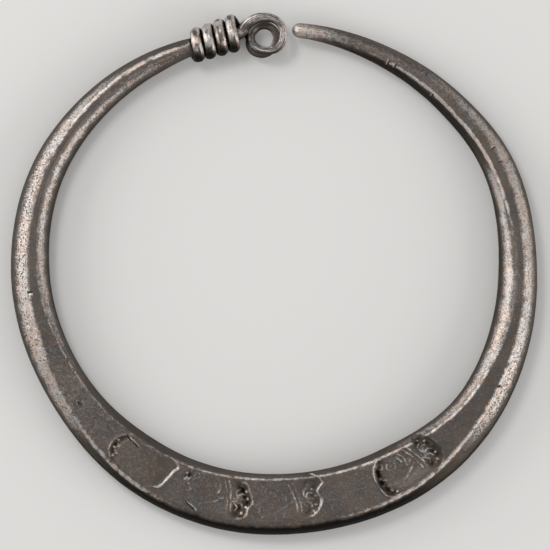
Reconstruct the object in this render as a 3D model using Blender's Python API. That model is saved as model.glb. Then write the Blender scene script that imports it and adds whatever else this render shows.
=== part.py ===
"""Stamped silver bracelet: one forged bar, bent to an open hoop, lying on its back.

Metres, +Z up. The stamped band faces up at -Y, and the eye and the tip meet at +Y.
The bar runs clockwise from the blunt tip, round the right arm, the band and the left arm
to the neck. There it goes on as wire: it turns twice round the eye, passes behind the
neck and winds back along it. All of it is one piece of metal, so it is one swept body.
"""
import math
from collections import namedtuple

import bmesh
import bpy
from mathutils import Matrix, Vector

MM = 0.001

# The hoop: its inside is measured from arm to arm
OPENING_WIDTH = 67.0 * MM
BAND_WIDTH = 9.35 * MM
BAND_THICKNESS = 4.6 * MM
ARM_WIDTH = 6.15 * MM
ARM_THICKNESS = 5.6 * MM
NECK_WIDTH = 3.0 * MM
TIP_WIDTH = 2.35 * MM
TIP_GAP = 0.4 * MM
CORNER_CUT = 0.5 * MM

# The neck: the angle where the hoop ends, counted on from the band, and its lean from +X
NECK_ANGLE = -249.1
NECK_LEAN = 17.8

# The winding round the neck, and the eye
WRAPS = 4
WRAP_BREADTH = 1.68 * MM
WRAP_GAP = 0.16 * MM
WRAP_LEAN = 0.08 * MM
FIRST_WRAP_DEPTH = 1.34 * MM
LAST_WRAP_DEPTH = 0.96 * MM
WIRE_GAP = 0.1 * MM
EYE_HOLE = 2.45 * MM
EYE_WIRE_WIDTH = 1.24 * MM
EYE_WIRE_DEPTH = 1.14 * MM
EYE_CLEARANCE = 1.04 * MM
FLOOR_GAP = 0.03 * MM

# Where the wire leaves the neck, and the turn of the eye where it is down to its own size
SHOULDER_WIDTH = 1.86 * MM
SHOULDER_DEPTH = 1.74 * MM
THIN_TURN = 63.0

# The stamp that was struck four times along the band
STAMP_LENGTH = 10.6 * MM
STAMP_WIDTH = 5.7 * MM
FIGURE_ROOT = 0.12 * MM
LEAST_SHOWN = 0.2 * MM
PELLET_RADIUS = 0.37 * MM
LINE_WIDTH = 0.40 * MM

# How finely the curves are divided
HOOP_STEP = 4.5
EYE_STEP = 24.0
WRAP_STEP = 30.0
BRIDGE_STEPS = 5

# One row is one place along the hoop: the angle, the inner radius as a share of half the
# opening, the width and the thickness, how far its middle is lifted to the height of the
# neck, and the two edges of its front facet as shares of half the width.
Place = namedtuple("Place", "angle inner width thickness lift ridge_in ridge_out")
# One row is one place round the eye: the turn from the neck's upper side, the distance
# outside the innermost turn and the height, both as shares of the wire.
Turn = namedtuple("Turn", "turn ring level")
# One row is one strike: the angle of its middle, its offset outward, its two depths, and
# how far along it its figures still show, as a share of its length.
Strike = namedtuple("Strike", "angle offset first_depth last_depth shown")
Frame = namedtuple("Frame", "centre across up outline")


def mix(low, high, share):
    return low + (high - low) * share


def right_arm(tip_angle):
    """The places from the tip to the middle of the right arm, where 0 is +X."""
    arm, tip, thick = ARM_WIDTH, TIP_WIDTH, ARM_THICKNESS
    return [
        Place(tip_angle, 1.055, tip, tip, 1.0, -0.45, 0.45),
        Place(tip_angle * 0.70, 1.037, mix(tip, arm, 0.33), mix(tip, thick, 0.37), 0.8, -0.33, 0.50),
        Place(tip_angle * 0.52, 1.036, mix(tip, arm, 0.53), mix(tip, thick, 0.57), 0.4, -0.40, 0.42),
        Place(tip_angle * 0.35, 1.043, mix(tip, arm, 0.70), mix(tip, thick, 0.77), 0.0, -0.44, 0.32),
    ]


def band_to_neck():
    """The places from the right arm round the band and the left arm to the neck."""
    arm, band, neck = ARM_WIDTH, BAND_WIDTH, NECK_WIDTH
    thick, flat = ARM_THICKNESS, BAND_THICKNESS
    return [
        Place(0.0, 1.007, arm, thick, 0.0, -0.10, 0.33),
        Place(-30.0, 0.994, mix(arm, band, 0.34), mix(flat, thick, 0.85), 0.0, -0.53, 0.29),
        Place(-60.0, 0.920, band, flat, 0.0, -0.76, 0.65),
        Place(-90.0, 0.895, band, flat, 0.0, -0.84, 0.67),
        Place(-120.0, 0.902, mix(arm, band, 0.83), flat, 0.0, -0.72, 0.70),
        Place(-150.0, 0.941, mix(arm, band, 0.25), mix(flat, thick, 0.60), 0.0, -0.69, 0.40),
        Place(-180.0, 0.987, arm, thick, 0.0, -0.40, 0.10),
        Place(-210.0, 1.020, mix(neck, arm, 0.70), mix(neck, thick, 0.78), 0.0, -0.16, 0.18),
        Place(-240.0, 1.021, mix(neck, arm, 0.25), mix(neck, thick, 0.27), 0.6, -0.15, 0.40),
        Place(NECK_ANGLE, 1.027, neck, neck, 1.0, -0.30, 0.30),
    ]


EYE_TURNS = [
    Turn(-51.0, 1.20, 0.30),
    Turn(-15.0, 0.98, 0.74),
    Turn(18.0, 0.92, 0.87),
    Turn(63.0, 1.02, 0.87),
    Turn(108.0, 0.78, 0.83),
    Turn(153.0, 0.49, 0.70),
    Turn(198.0, 0.07, 0.48),
    Turn(243.0, 0.05, 0.13),
    Turn(288.0, 0.07, -0.42),
    Turn(320.0, 0.02, -0.86),
    Turn(378.0, 0.00, -0.74),
    Turn(468.0, 0.00, -0.62),
    Turn(513.0, 0.14, -0.68),
    Turn(558.0, 0.46, -0.90),
    Turn(603.0, 0.60, -1.24),
    Turn(640.0, 0.30, -1.60),
]

STRIKES = [
    Strike(-124.5, -0.3 * MM, 0.34 * MM, 0.24 * MM, -0.35),
    Strike(-103.6, -0.2 * MM, 0.06 * MM, 0.40 * MM, 0.5),
    Strike(-86.4, -0.1 * MM, 0.05 * MM, 0.36 * MM, 0.5),
    Strike(-54.6, 0.1 * MM, 0.55 * MM, 0.34 * MM, 0.5),
]

# Sizes that follow from the ones above
HALF_OPENING = OPENING_WIDTH / 2
WRAP_PITCH = WRAP_BREADTH + WRAP_GAP
FIRST_SWING = 170.0
LAST_SWING = 180.0 - 360.0 * WRAPS + 30.0
FRONT_WRAP = WRAP_BREADTH / 2 + WRAP_GAP - WRAP_PITCH * LAST_SWING / 360.0
WINDING_END = FRONT_WRAP + WRAP_BREADTH / 2
NECK_HALF = NECK_WIDTH / 2
WINDING_RADIUS = NECK_HALF + WIRE_GAP + FIRST_WRAP_DEPTH
AXIS_HEIGHT = max(WINDING_RADIUS + FLOOR_GAP, ARM_THICKNESS / 2)
INNER_TURN = (EYE_HOLE + EYE_WIRE_WIDTH) / 2
EYE_ALONG = WINDING_END + EYE_CLEARANCE + EYE_HOLE / 2 + EYE_WIRE_WIDTH
EYE_DOWN = EYE_HOLE / 2 + EYE_WIRE_WIDTH * 0.62


def clear_scene():
    for old in list(bpy.data.objects):
        bpy.data.objects.remove(old, do_unlink=True)


def smooth(table, at):
    """The value at a place on a smooth line through (place, value) rows that never overshoots."""
    rows = sorted(table)
    xs = [row[0] for row in rows]
    ys = [row[1] for row in rows]
    at = min(max(at, xs[0]), xs[-1])
    slopes = [(ys[i + 1] - ys[i]) / (xs[i + 1] - xs[i]) for i in range(len(xs) - 1)]
    tangents = [slopes[0]]
    for before, after in zip(slopes, slopes[1:]):
        level = before * after <= 0.0
        tangents.append(0.0 if level else 2.0 * before * after / (before + after))
    tangents.append(slopes[-1])
    i = max(k for k in range(len(xs) - 1) if xs[k] <= at)
    gap = xs[i + 1] - xs[i]
    t = (at - xs[i]) / gap
    start = ys[i] * (2 * t**3 - 3 * t**2 + 1) + gap * tangents[i] * (t**3 - 2 * t**2 + t)
    end = ys[i + 1] * (3 * t**2 - 2 * t**3) + gap * tangents[i + 1] * (t**3 - t**2)
    return start + end


def cut_corners(points):
    """Each corner of a closed outline becomes two points, a short way along its two edges."""
    cut = []
    for i, corner in enumerate(points):
        for other in (points[i - 1], points[(i + 1) % len(points)]):
            share = min(0.25, CORNER_CUT / math.dist(corner, other))
            cut.append((mix(corner[0], other[0], share), mix(corner[1], other[1], share)))
    return cut


def bar_outline(width, thickness, ridge_in, ridge_out):
    """The hoop's section: a front facet, bevels, steep sides and a flat back."""
    out = ridge_out + (1.0 - ridge_out) * 0.72
    inn = ridge_in - (1.0 + ridge_in) * 0.72
    shares = [
        (ridge_out, 0.5), (ridge_in, 0.5), (inn, 0.24), (-1.0, -0.05), (-0.86, -0.36),
        (-0.56, -0.5), (0.56, -0.5), (0.86, -0.36), (1.0, -0.05), (out, 0.24),
    ]
    return cut_corners([(u * width / 2, v * thickness) for u, v in shares])


def wire_outline(width, depth):
    """The wire's section: a flattened round with as many points as the bar's section."""
    shares = [
        (0.52, 0.5), (-0.52, 0.5), (-1.0, 0.27), (-1.0, 0.0), (-1.0, -0.27),
        (-0.52, -0.5), (0.52, -0.5), (1.0, -0.27), (1.0, 0.0), (1.0, 0.27),
    ]
    return cut_corners([(u * width / 2, v * depth) for u, v in shares])


def fit_round(outline, radius):
    """An outline made smaller or larger so that its furthest point is at a radius."""
    scale = radius / max(math.hypot(u, v) for u, v in outline)
    return [(u * scale, v * scale) for u, v in outline]


def blend_outlines(first, second, share):
    return [(mix(a[0], b[0], share), mix(a[1], b[1], share)) for a, b in zip(first, second)]


def frame_at(centre, along, outward, outline):
    """A section's frame: across points outward, square to the direction of travel."""
    along = along.normalized()
    across = (outward - along * outward.dot(along)).normalized()
    return Frame(centre, across, along.cross(across), outline)


def place_at(angle, rows):
    """The hoop's place at any angle, worked out from the rows on both sides of it."""
    sizes = [smooth([(row.angle, row[k]) for row in rows], angle) for k in range(1, len(Place._fields))]
    return Place(angle, *sizes)


def hoop_middle(place):
    radius = place.inner * HALF_OPENING + place.width / 2
    height = mix(place.thickness / 2, AXIS_HEIGHT, place.lift)
    turn = math.radians(place.angle)
    return Vector((radius * math.cos(turn), radius * math.sin(turn), height))


def hoop_frame(place):
    turn = math.radians(place.angle)
    outward = Vector((math.cos(turn), math.sin(turn), 0.0))
    along = Vector((math.sin(turn), -math.cos(turn), 0.0))
    outline = bar_outline(place.width, place.thickness, place.ridge_in, place.ridge_out)
    return frame_at(hoop_middle(place), along, outward, outline)


def neck_start():
    """The middle of the bar where the hoop ends and the straight neck begins."""
    return hoop_middle(band_to_neck()[-1])


def neck_point(along, above, height):
    """A place beside the neck: along it towards the eye, above it, and up from its axis."""
    lean = math.radians(NECK_LEAN)
    forward = Vector((math.cos(lean), math.sin(lean), 0.0))
    sideways = Vector((-math.sin(lean), math.cos(lean), 0.0))
    return neck_start() + forward * along + sideways * above + Vector((0.0, 0.0, height))


def eye_radius(turn):
    ring = smooth([(row.turn, row.ring) for row in EYE_TURNS], turn)
    return INNER_TURN + ring * EYE_WIRE_WIDTH


def eye_point(turn):
    level = smooth([(row.turn, row.level) for row in EYE_TURNS], turn) * EYE_WIRE_DEPTH
    radius = eye_radius(turn)
    swing = math.radians(turn)
    along = EYE_ALONG + radius * math.sin(swing)
    return neck_point(along, -EYE_DOWN + radius * math.cos(swing), level)


def eye_frame(turn):
    # The wire is still thick where it leaves the neck
    share = min((turn - EYE_TURNS[0].turn) / (THIN_TURN - EYE_TURNS[0].turn), 1.0)
    width = mix(SHOULDER_WIDTH, EYE_WIRE_WIDTH, share)
    outline = wire_outline(width, mix(SHOULDER_DEPTH, EYE_WIRE_DEPTH, math.sqrt(share)))
    outward = eye_point(turn) - neck_point(EYE_ALONG, -EYE_DOWN, 0.0)
    outward.z = 0.0
    along = eye_point(turn + 1.0) - eye_point(turn - 1.0)
    return frame_at(eye_point(turn), along, outward, outline)


def wrap_depth(done):
    return mix(FIRST_WRAP_DEPTH, LAST_WRAP_DEPTH, done)


def wrap_along(swing):
    """How far along the neck the winding is: each wrap leans, so it gains more behind."""
    return FRONT_WRAP + WRAP_PITCH * swing / 360.0 - WRAP_LEAN * math.sin(math.radians(swing))


def wrap_point(swing):
    """A place on the winding: swing is 0 where a wrap is highest, and falls along the wire."""
    done = (180.0 - swing) / (360.0 * WRAPS)
    radius = NECK_HALF + WIRE_GAP + wrap_depth(done) / 2
    turn = math.radians(swing)
    return neck_point(wrap_along(swing), radius * math.sin(turn), radius * math.cos(turn))


def wrap_frame(swing):
    done = (180.0 - swing) / (360.0 * WRAPS)
    axis = neck_point(wrap_along(swing), 0.0, 0.0)
    outward = wrap_point(swing) - axis
    along = wrap_point(swing - 1.0) - wrap_point(swing + 1.0)
    return frame_at(wrap_point(swing), along, outward, wire_outline(wrap_depth(done), WRAP_BREADTH))


def bridge(first, second, first_along, second_along, steps):
    """Frames along a smooth curve from one frame to the next."""
    reach = (second.centre - first.centre).length
    frames = []
    for i in range(1, steps + 1):
        t = i / (steps + 1)
        start = first.centre * (2 * t**3 - 3 * t**2 + 1) + first_along * reach * (t**3 - 2 * t**2 + t)
        end = second.centre * (3 * t**2 - 2 * t**3) + second_along * reach * (t**3 - t**2)
        ease = t * t * (3 - 2 * t)
        travel = first_along.lerp(second_along, ease)
        outward = first.across.lerp(second.across, ease)
        outline = blend_outlines(first.outline, second.outline, ease)
        frames.append(frame_at(start + end, travel, outward, outline))
    return frames


def along_of(frame):
    return frame.across.cross(frame.up)


def spread(start, end, step):
    count = max(1, round(abs(end - start) / step))
    return [mix(start, end, i / count) for i in range(count + 1)]


def blunt(frame, along, depth, shares=(0.92, 0.72, 0.38)):
    """Ever smaller sections beyond a frame, which round its end off."""
    frames = []
    for share in shares:
        reach = math.sqrt(1.0 - share * share) * depth
        outline = [(u * share, v * share) for u, v in frame.outline]
        frames.append(Frame(frame.centre + along * reach, frame.across, frame.up, outline))
    return frames


def tip_angle():
    """The angle of the tip's last full section, which leaves the gap to the eye."""
    eye = neck_point(EYE_ALONG, -EYE_DOWN, 0.0)
    reach = eye_radius(90.0) + EYE_WIRE_WIDTH / 2 + TIP_GAP + TIP_WIDTH / 2
    return math.degrees(math.atan2(eye.y, eye.x) - reach / math.hypot(eye.x, eye.y))


def bar_frames():
    rows = right_arm(tip_angle()) + band_to_neck()
    hoop = [
        hoop_frame(place_at(angle, rows))
        for angle in spread(rows[0].angle, rows[-1].angle, HOOP_STEP)
    ]
    tip = blunt(hoop[0], -along_of(hoop[0]), TIP_WIDTH / 2)
    tip.reverse()

    # The straight neck under the winding
    neck_outline = fit_round(wire_outline(NECK_WIDTH, NECK_WIDTH), NECK_HALF)
    forward = (neck_point(1.0, 0.0, 0.0) - neck_point(0.0, 0.0, 0.0)).normalized()
    sideways = (neck_point(0.0, 1.0, 0.0) - neck_point(0.0, 0.0, 0.0)).normalized()
    neck = [
        frame_at(neck_point(WINDING_END * share, 0.0, 0.0), forward, sideways, neck_outline)
        for share in (0.15, 0.5, 0.88)
    ]

    eye = [eye_frame(turn) for turn in spread(EYE_TURNS[0].turn, EYE_TURNS[-1].turn, EYE_STEP)]
    shoulder = bridge(neck[-1], eye[0], forward, along_of(eye[0]), 1)

    winding = [wrap_frame(swing) for swing in spread(FIRST_SWING, LAST_SWING, WRAP_STEP)]
    passage = bridge(eye[-1], winding[0], along_of(eye[-1]), along_of(winding[0]), BRIDGE_STEPS)
    end = blunt(winding[-1], along_of(winding[-1]), LAST_WRAP_DEPTH / 3, (0.8, 0.5))
    return tip + hoop + neck + shoulder + eye + passage + winding + end


def sweep(name, frames):
    """One closed mesh through every frame's outline, with a flat cap at each end."""
    shape = bmesh.new()
    rings = []
    for frame in frames:
        rings.append([
            shape.verts.new(frame.centre + frame.across * u + frame.up * v)
            for u, v in frame.outline
        ])
    for ring, following in zip(rings, rings[1:]):
        for i in range(len(ring)):
            j = (i + 1) % len(ring)
            shape.faces.new((ring[i], ring[j], following[j], following[i]))
    shape.faces.new(rings[0][::-1])
    shape.faces.new(rings[-1])
    bmesh.ops.recalc_face_normals(shape, faces=shape.faces)
    return finish_mesh(name, shape)


def finish_mesh(name, shape):
    mesh = bpy.data.meshes.new(name)
    shape.to_mesh(mesh)
    shape.free()
    mesh.shade_smooth()
    mesh.set_sharp_from_angle(angle=math.radians(32))
    made = bpy.data.objects.new(name, mesh)
    bpy.context.scene.collection.objects.link(made)
    return made


def stamp_outline(steps=6):
    """The stamp seen from the front: straight long sides and bowed ends."""
    half_long = STAMP_LENGTH / 2
    half_wide = STAMP_WIDTH / 2
    bow = 0.17 * STAMP_LENGTH
    points = []
    for side in (1.0, -1.0):
        for i in range(steps + 1):
            swing = math.radians(mix(-90.0, 90.0, i / steps))
            x = half_long - bow + bow * math.cos(swing)
            points.append((side * x, side * half_wide * math.sin(swing)))
    return points


def strike_depth(strike, x):
    return mix(strike.first_depth, strike.last_depth, x / STAMP_LENGTH + 0.5)


def shows(strike, shares):
    """Whether a figure at these shares of the length is deep enough, and not worn away."""
    deep = all(strike_depth(strike, share * STAMP_LENGTH) > LEAST_SHOWN for share in shares)
    return deep and max(shares) <= strike.shown


def strike_point(strike, x, y, rise):
    """A point of a strike: x along the band, y inward, and rise above its tilted floor."""
    place = place_at(strike.angle, band_to_neck())
    facet_middle = place.width / 2 * (1.0 + (place.ridge_in + place.ridge_out) / 2)
    middle = place.inner * HALF_OPENING + facet_middle + strike.offset
    angle = strike.angle + math.degrees(x / middle)
    floor = place_at(angle, band_to_neck()).thickness - strike_depth(strike, x)
    turn = math.radians(angle)
    radius = middle - y
    return Vector((radius * math.cos(turn), radius * math.sin(turn), floor + rise))


def add_recess(shape, strike):
    """The body of metal that a strike pushed away."""
    outline = stamp_outline()
    low = [shape.verts.new(strike_point(strike, x, y, 0.0)) for x, y in outline]
    high = [shape.verts.new(strike_point(strike, x, y, BAND_THICKNESS / 2)) for x, y in outline]
    heart = shape.verts.new(strike_point(strike, 0.0, 0.0, 0.0))
    for i in range(len(outline)):
        j = (i + 1) % len(outline)
        shape.faces.new((low[i], low[j], high[j], high[i]))
        shape.faces.new((low[j], low[i], heart))
    shape.faces.new(high)


def add_pellet(shape, strike, x, y):
    """A low dome that stands on a strike's floor."""
    made = bmesh.ops.create_icosphere(shape, subdivisions=1, radius=PELLET_RADIUS)
    flatten = Matrix.Diagonal((1.0, 1.0, 0.9, 1.0))
    bmesh.ops.transform(shape, matrix=flatten, verts=made["verts"])
    place = strike_point(strike, x, y, -PELLET_RADIUS / 5)
    bmesh.ops.translate(shape, verts=made["verts"], vec=place)


def add_line(shape, strike, points):
    """A raised line through points on a strike's floor, with a ridge along its top."""
    rings = []
    for i, (x, y) in enumerate(points):
        before = points[max(i - 1, 0)]
        after = points[min(i + 1, len(points) - 1)]
        travel = Vector((after[0] - before[0], after[1] - before[1])).normalized()
        half = LINE_WIDTH / 2
        left = (x - travel.y * half, y + travel.x * half)
        right = (x + travel.y * half, y - travel.x * half)
        rings.append([
            shape.verts.new(strike_point(strike, *left, -FIGURE_ROOT)),
            shape.verts.new(strike_point(strike, x, y, LINE_WIDTH / 2)),
            shape.verts.new(strike_point(strike, *right, -FIGURE_ROOT)),
        ])
    for ring, following in zip(rings, rings[1:]):
        for i in range(3):
            j = (i + 1) % 3
            shape.faces.new((ring[i], ring[j], following[j], following[i]))
    shape.faces.new(rings[0][::-1])
    shape.faces.new(rings[-1])


def bow(centre, radius, first, last, steps=5):
    """Points along an arc, in shares of the stamp's length."""
    points = []
    for i in range(steps + 1):
        swing = math.radians(mix(first, last, i / steps))
        x = centre[0] + radius * math.cos(swing)
        y = centre[1] + radius * math.sin(swing)
        points.append((x * STAMP_LENGTH, y * STAMP_LENGTH))
    return points


def scaled(points):
    return [(x * STAMP_LENGTH, y * STAMP_LENGTH) for x, y in points]


def ray(centre, start, end, angle):
    swing = math.radians(angle)
    return scaled([
        (centre[0] + reach * math.cos(swing), centre[1] + reach * math.sin(swing))
        for reach in (start, end)
    ])


def stamp_figure():
    """The stamp's raised design, in shares of its length: x along the band, y inward.

    A crescent of pellets with a ring, two arcs that face each other, a long stroke and two
    curved bars lead to a fan of five rays inside a second crescent of pellets.
    """
    pellets = [(-0.430, 0.085), (-0.447, 0.012), (-0.438, -0.062), (-0.392, -0.145)]
    pellets += [(0.388, 0.135), (0.430, 0.048), (0.430, -0.045), (0.388, -0.130)]
    lines = [
        bow((-0.370, 0.175), 0.040, 0.0, 300.0),
        bow((-0.225, 0.115), 0.055, 110.0, 250.0, 3),
        bow((-0.225, 0.115), 0.085, -60.0, 60.0, 4),
        scaled([(-0.150, -0.150), (-0.030, -0.095), (0.070, -0.020)]),
        scaled([(0.050, 0.235), (0.110, 0.090), (0.140, -0.050), (0.150, -0.160)]),
        scaled([(0.115, 0.240), (0.175, 0.090), (0.200, -0.050), (0.208, -0.170)]),
    ]
    for angle in (-72.0, -36.0, 0.0, 36.0, 72.0):
        lines.append(ray((0.235, 0.0), 0.062, 0.130, angle))
    return pellets, lines


def strikes_and_figures():
    """The recesses to take out of the band, and the raised figures to put back in them."""
    recesses = bmesh.new()
    figures = bmesh.new()
    pellets, lines = stamp_figure()
    for strike in STRIKES:
        add_recess(recesses, strike)
        for x, y in pellets:
            if shows(strike, [x]):
                add_pellet(figures, strike, x * STAMP_LENGTH, y * STAMP_LENGTH)
        for points in lines:
            if shows(strike, [x / STAMP_LENGTH for x, _ in points]):
                add_line(figures, strike, points)
    for shape in (recesses, figures):
        bmesh.ops.recalc_face_normals(shape, faces=shape.faces)
    return finish_mesh("strike_recesses", recesses), finish_mesh("strike_figures", figures)


def apply_boolean(target, tool, operation):
    """Cuts or adds a tool whose own pieces may touch each other."""
    change = target.modifiers.new(tool.name, "BOOLEAN")
    change.operation = operation
    change.solver = "EXACT"
    change.use_self = True
    change.object = tool
    tool.hide_render = True
    tool.display_type = "WIRE"


def silver():
    """Old silver, grown dark, with a warm grey cast."""
    material = bpy.data.materials.new("tarnished_silver")
    material.use_nodes = True
    shader = material.node_tree.nodes["Principled BSDF"]
    shader.inputs["Base Color"].default_value = (0.30, 0.27, 0.25, 1.0)
    shader.inputs["Metallic"].default_value = 1.0
    shader.inputs["Roughness"].default_value = 0.38
    return material


def stand_on_origin(body, others):
    """Moves everything so that the body's box stands on the origin at its middle."""
    corners = [vertex.co for vertex in body.data.vertices]
    low = Vector([min(corner[k] for corner in corners) for k in range(3)])
    high = Vector([max(corner[k] for corner in corners) for k in range(3)])
    shift = Matrix.Translation((-(low.x + high.x) / 2, -(low.y + high.y) / 2, -low.z))
    for part in [body, *others]:
        part.data.transform(shift)


def main():
    clear_scene()
    bracelet = sweep("bracelet", bar_frames())
    recesses, figures = strikes_and_figures()
    stand_on_origin(bracelet, [recesses, figures])
    apply_boolean(bracelet, recesses, "DIFFERENCE")
    apply_boolean(bracelet, figures, "UNION")
    bracelet.data.materials.append(silver())


main()
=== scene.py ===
"""Looks of the stamped silver bracelet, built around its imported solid.

+Z up, in the solid's own frame. Sizes are in millimetres, and the meshes are turned into
metres as they are made. One bar is swept along one path, as in the solid, with fine sections.
Two pieces meet inside the winding: the hoop, with its four stamps, and the wire that makes
the eye and the winding. The camera looks straight down on it.
"""

import math
from collections import namedtuple

import bpy
import numpy as np
from mathutils import Matrix, Vector, noise


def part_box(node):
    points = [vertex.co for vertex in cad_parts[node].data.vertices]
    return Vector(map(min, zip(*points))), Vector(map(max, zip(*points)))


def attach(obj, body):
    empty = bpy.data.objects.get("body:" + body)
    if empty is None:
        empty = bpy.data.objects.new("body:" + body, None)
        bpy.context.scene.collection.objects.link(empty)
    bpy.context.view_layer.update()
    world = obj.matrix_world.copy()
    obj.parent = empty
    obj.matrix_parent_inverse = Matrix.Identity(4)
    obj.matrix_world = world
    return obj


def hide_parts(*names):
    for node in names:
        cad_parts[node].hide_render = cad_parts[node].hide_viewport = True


MM = 0.001

# The hoop, as in the solid
OPENING_WIDTH = 67.0
BAND_WIDTH = 9.35
BAND_THICKNESS = 4.6
ARM_WIDTH = 6.15
ARM_THICKNESS = 5.6
NECK_WIDTH = 3.0
TIP_WIDTH = 2.35
TIP_GAP = 0.4
NECK_ANGLE = -249.1
NECK_LEAN = 17.8

# The winding and the eye, as in the solid
WRAPS = 4
WRAP_BREADTH = 1.68
WRAP_GAP = 0.16
WRAP_LEAN = 0.08
WIRE_FLATNESS = (0.52, 0.27)
WRAP_FLATNESS = (0.42, 0.16)
FIRST_WRAP_DEPTH = 1.34
LAST_WRAP_DEPTH = 0.96
WIRE_GAP = 0.1
EYE_HOLE = 2.45
EYE_WIRE_WIDTH = 1.24
EYE_WIRE_DEPTH = 1.14
EYE_CLEARANCE = 1.04
FLOOR_GAP = 0.03
SHOULDER_WIDTH = 1.86
SHOULDER_DEPTH = 1.74
THIN_TURN = 63.0
SECTION_CHANGE = 0.15

# The hoop's section below its ridges, as shares of half its width and of its thickness
BEVEL_REACH = 0.72
BEVEL_FOOT = 0.24
SIDES_AND_BACK = [
    (-1.0, -0.05), (-0.86, -0.36), (-0.56, -0.5), (0.56, -0.5), (0.86, -0.36), (1.0, -0.05),
]

# The stamps
STAMP_LENGTH = 10.6
STAMP_WIDTH = 5.9
STAMP_BOW = 0.17
WALL_WIDTH = 0.22
WALL_WANDER = 0.16
BURR_HEIGHT = 0.08
PELLET_RADIUS = 0.27
PELLET_HEIGHT = 0.14
SMALL_PELLET = (PELLET_RADIUS * 0.6, PELLET_HEIGHT * 0.6)
RING_DOT = (PELLET_RADIUS * 0.55, PELLET_HEIGHT * 0.6)
LINE_REACH = 0.13 * 1.6
LINE_HEIGHT = 0.13
LEAF_HEIGHT = 0.35 * LINE_HEIGHT
FIGURE_WARP = 0.14
TROUGH_DEPTH = 0.26
TROUGH_WIDTHS = (0.55, 1.05)

# Where along a stamp its last half and its ends' hollows set in, as shares of its length
LAST_HALF = (-0.10, 0.16)
HOLLOWS_BEGIN = (0.26, 0.16)
HOLLOWS_FULL = (0.40, 0.28)

# How far inside a stamp's wall its burr, lip and dirty corner lie, and how wide they are
BURR_PLACE = (-0.18, 0.13)
LIP_PLACE = (-0.05, 0.18)
CORNER_PLACE = (0.22, 0.13)

# The surface's wear
HAMMER_DEPTH = 0.07
WIRE_HAMMER_DEPTH = 0.10
EDGE_WEAR_DEPTH = 0.10
RIDGE_REACHES = (0.27, 0.34)
PATINA_EDGES = (0.12, 0.40)
NICK_DEPTH = 0.11
NICK_HALF_WIDTH = 0.10
DENT_DEPTH = 0.10
BACK_BARENESS = 0.20
BACK_DIRT = 0.22
# The neck and the passage inside the winding are painted near black: painted shade under the winding.
HIDDEN_BARENESS = 0.05
HIDDEN_SHADE = 0.9
NECK_SHADE = 0.95

# Layers of soft noise: how much of each there is, the size of its lumps and its seed, and how
# far a seed moves the noise
SEED_SHIFT = np.array([7.31, 3.17, 1.93])
HAMMER_MARKS = [(0.6, 6.0, 1), (0.4, 2.4, 2)]
WIRE_HAMMER_MARKS = [(0.6, 2.0, 5), (0.4, 0.9, 6)]
WALL_WAVES = [(WALL_WANDER, 2.1, 11), (WALL_WANDER * 0.35, 0.7, 12)]
PATINA_DRIFT = [(0.22, 1.6, 21), (0.14, 0.6, 25)]

# Shares that vary in patches, from a low to a high limit round a middle
Patches = namedtuple("Patches", "size seed middle swing low high")
FIGURE_PATCHES = Patches(1.5, 13, 0.90, 0.8, 0.3, 1.0)
LIP_PATCHES = Patches(1.1, 16, 0.75, 0.8, 0.1, 1.0)
HOLLOW_PATCHES = Patches(0.8, 17, 0.9, 0.7, 0.0, 1.2)
RUBBED_PATCHES = Patches(0.7, 18, 0.74, 0.6, 0.35, 1.0)
RIDGE_PATCHES = Patches(0.8, 22, 0.95, 1.1, 0.30, 1.2)
WIRE_PATCHES = Patches(0.8, 23, 0.85, 1.0, 0.1, 1.0)
WRAP_PATCHES = Patches(1.1, 24, 0.62, 2.3, 0.12, 1.0)

# How finely the surfaces are divided
BAND_ARC = (-137.0, -43.0)
BRIGHT_RIDGE_ARC = (12.0, 66.0)
NICK_ARCS = [(58.2, 62.0), (47.1, 48.7), (28.6, 30.4), (25.1, 26.9), (-177.0, -174.6)]
FINE_RING_GAP = 0.135
RING_GAP = 0.36
ARC_STEPS = 4
BAR_EDGE_STEPS = (47, 13, 4, 1, 1, 3, 1, 1, 4, 13)
WIRE_ARC_STEPS = 2
WIRE_EDGE_STEPS = (5, 3, 1, 1, 3, 5, 3, 1, 1, 3)
TIP_RINGS = 9
NECK_SHARES = np.linspace(0.0, 0.5, 14)[1:]
WIRE_NECK_SHARES = np.linspace(0.42, 0.88, 16)
SHOULDER_STEPS = 14
EYE_RINGS = 231
WRAP_STEP = 3.0
BRIDGE_STEPS = 22
WIRE_END_RINGS = 6

# How round the ends and the corners are. A corner takes a share of its edges at most.
BLUNT_SWING = 84.0
BAR_CORNER_CUT = 1.0
WIRE_CORNER_CUT = 0.30
LARGEST_CUT = 0.47

# One row is one place along the hoop: the angle, the inner radius as a share of half the
# opening, the width and the thickness, how far its middle is lifted to the height of the
# neck, and the two edges of its front facet as shares of half the width.
Place = namedtuple("Place", "angle inner width thickness lift ridge_in ridge_out")
# One row is one place along the eye's two turns: the turn from its outer side, how much wider
# than the inner turn it is, in widths of the wire, and its level, in depths of the wire
Turn = namedtuple("Turn", "turn ring level")
# A strike's figures show up to one share of its length. What follows is given for its first
# and its last end: the depths, how bright the walls are, how dark the hollows, how clear the
# figures, and how the walls bend.
Strike = namedtuple("Strike", "angle offset shown depths walls shades figures bends")
Nick = namedtuple("Nick", "angle radius length lean")
Dent = namedtuple("Dent", "angle radius size")
# Rings are arrays: centres, directions across and up, and each section's ten corners
Rings = namedtuple("Rings", "centre across up corners")


def mix(low, high, share):
    return low + (high - low) * share


def ease(low, high, value):
    """0 below low, 1 above high, and smooth between them."""
    t = np.clip((value - low) / (high - low), 0.0, 1.0)
    return t * t * (3.0 - 2.0 * t)


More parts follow.
